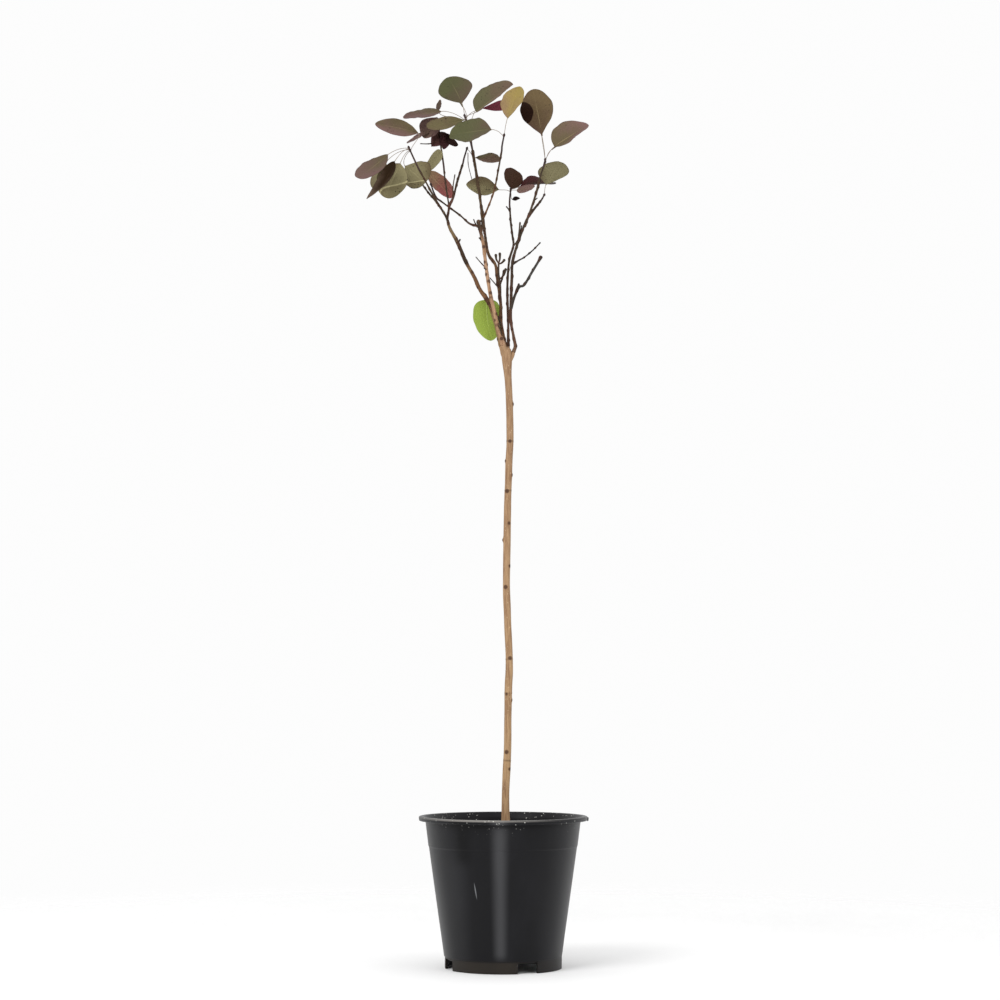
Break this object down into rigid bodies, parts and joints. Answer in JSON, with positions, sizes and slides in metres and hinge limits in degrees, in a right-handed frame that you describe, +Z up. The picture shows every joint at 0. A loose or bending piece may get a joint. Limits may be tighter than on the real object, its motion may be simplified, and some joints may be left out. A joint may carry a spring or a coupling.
{
  "type": "potted smoke tree",
  "caption": "Young purple-leaved smoke tree grown as a small standard: a slim bare trunk forks into thin boughs with round leaves, in a round black nursery pot.",
  "frame": {"origin": "centre of the pot's flat underside, on the floor", "axes": "+Z up along the trunk, the plant's front faces -Y, and its right seen from the front is +X"},
  "size_m": [0.2669, 0.2238, 1.0317],
  "materials": {
    "pot": "matte black with soft sheen",
    "soil": "dark crumbly potting mix",
    "trunk": "young smooth bark",
    "bough_pale": "young smooth bark",
    "bough_pale_twig": "young smooth bark",
    "bough_left": "young smooth bark",
    "bough_left_inner": "young smooth bark",
    "bough_left_middle": "young smooth bark",
    "bough_centre": "young smooth bark",
    "bough_centre_right": "young smooth bark",
    "bough_right": "young smooth bark",
    "bough_right_outer": "young smooth bark",
    "bough_back": "young smooth bark",
    "bough_rear": "young smooth bark",
    "bough_rear_left": "young smooth bark",
    "bough_rear_right": "young smooth bark",
    "bough_low_right": "young smooth bark",
    "bough_thin_right": "young smooth bark",
    "bare_spur": "dark dead twigs",
    "foliage_left": "thin leathery leaves",
    "foliage_upper_left": "thin leathery leaves",
    "foliage_inner_left": "thin leathery leaves",
    "foliage_middle": "thin leathery leaves",
    "foliage_top": "thin leathery leaves",
    "foliage_top_centre": "thin leathery leaves",
    "foliage_top_right": "thin leathery leaves",
    "foliage_lower_right": "thin leathery leaves",
    "foliage_back": "thin leathery leaves",
    "foliage_rear": "thin leathery leaves",
    "foliage_rear_left": "thin leathery leaves",
    "foliage_rear_right": "thin leathery leaves",
    "leaf_at_fork": "thin leathery leaves"
  },
  "bodies": {
    "root": {"pot": "pot", "soil": "soil", "trunk": "trunk", "bough_pale": "bough_pale", "bough_pale_twig": "bough_pale_twig", "bough_left": "bough_left", "bough_left_inner": "bough_left_inner", "bough_left_middle": "bough_left_middle", "bough_centre": "bough_centre", "bough_centre_right": "bough_centre_right", "bough_right": "bough_right", "bough_right_outer": "bough_right_outer", "bough_back": "bough_back", "bough_rear": "bough_rear", "bough_rear_left": "bough_rear_left", "bough_rear_right": "bough_rear_right", "bough_low_right": "bough_low_right", "bough_thin_right": "bough_thin_right", "bare_spur": "bare_spur", "foliage_left": "foliage_left", "foliage_upper_left": "foliage_upper_left", "foliage_inner_left": "foliage_inner_left", "foliage_middle": "foliage_middle", "foliage_top": "foliage_top", "foliage_top_centre": "foliage_top_centre", "foliage_top_right": "foliage_top_right", "foliage_lower_right": "foliage_lower_right", "foliage_back": "foliage_back", "foliage_rear": "foliage_rear", "foliage_rear_left": "foliage_rear_left", "foliage_rear_right": "foliage_rear_right", "leaf_at_fork": "leaf_at_fork"}
  },
  "joints": []
}
